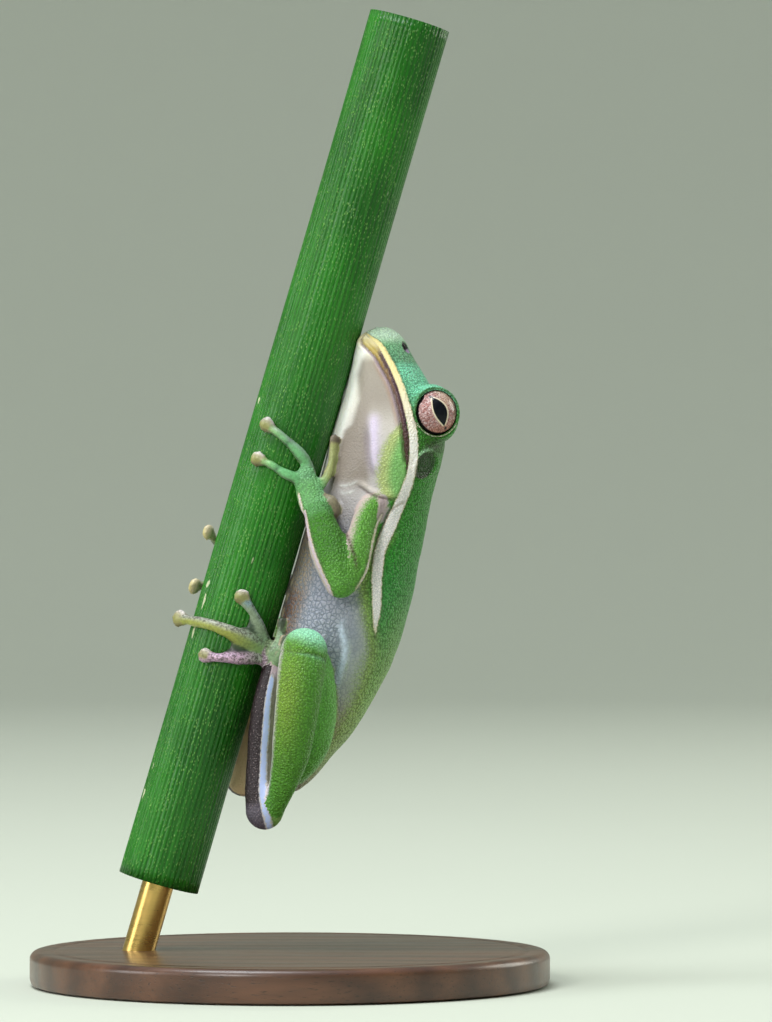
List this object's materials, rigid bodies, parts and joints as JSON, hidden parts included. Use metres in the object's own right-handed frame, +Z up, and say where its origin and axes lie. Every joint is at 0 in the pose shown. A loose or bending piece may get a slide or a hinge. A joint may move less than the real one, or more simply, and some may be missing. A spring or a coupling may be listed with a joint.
{
  "type": "tree frog on a reed",
  "caption": "Life-size green tree frog clinging head up to a cut length of reed, which a short rod carries on a round display base.",
  "frame": {"origin": "centre of the underside of the stand's base", "axes": "+Z up, +X towards the side that the reed leans to and the frog's back faces, -Y towards the frog's left"},
  "size_m": [0.052, 0.052, 0.0975],
  "materials": {
    "skin": "moist, finely grained",
    "eye": "wet gloss",
    "reed": "waxy, finely ribbed",
    "base": "satin lacquer",
    "rod": "brushed"
  },
  "bodies": {
    "root": {"head": "skin", "torso": "skin", "eye_left": "eye", "eye_right": "eye", "upper_arm_left": "skin", "upper_arm_right": "skin", "forearm_left": "skin", "forearm_right": "skin", "hand_left": "skin", "hand_right": "skin", "thigh_left": "skin", "thigh_right": "skin", "shank_left": "skin", "shank_right": "skin", "tarsus_left": "skin", "tarsus_right": "skin", "foot_left": "skin", "foot_right": "skin", "perch_reed": "reed", "stand_base": "base", "stand_rod": "rod"}
  },
  "joints": []
}
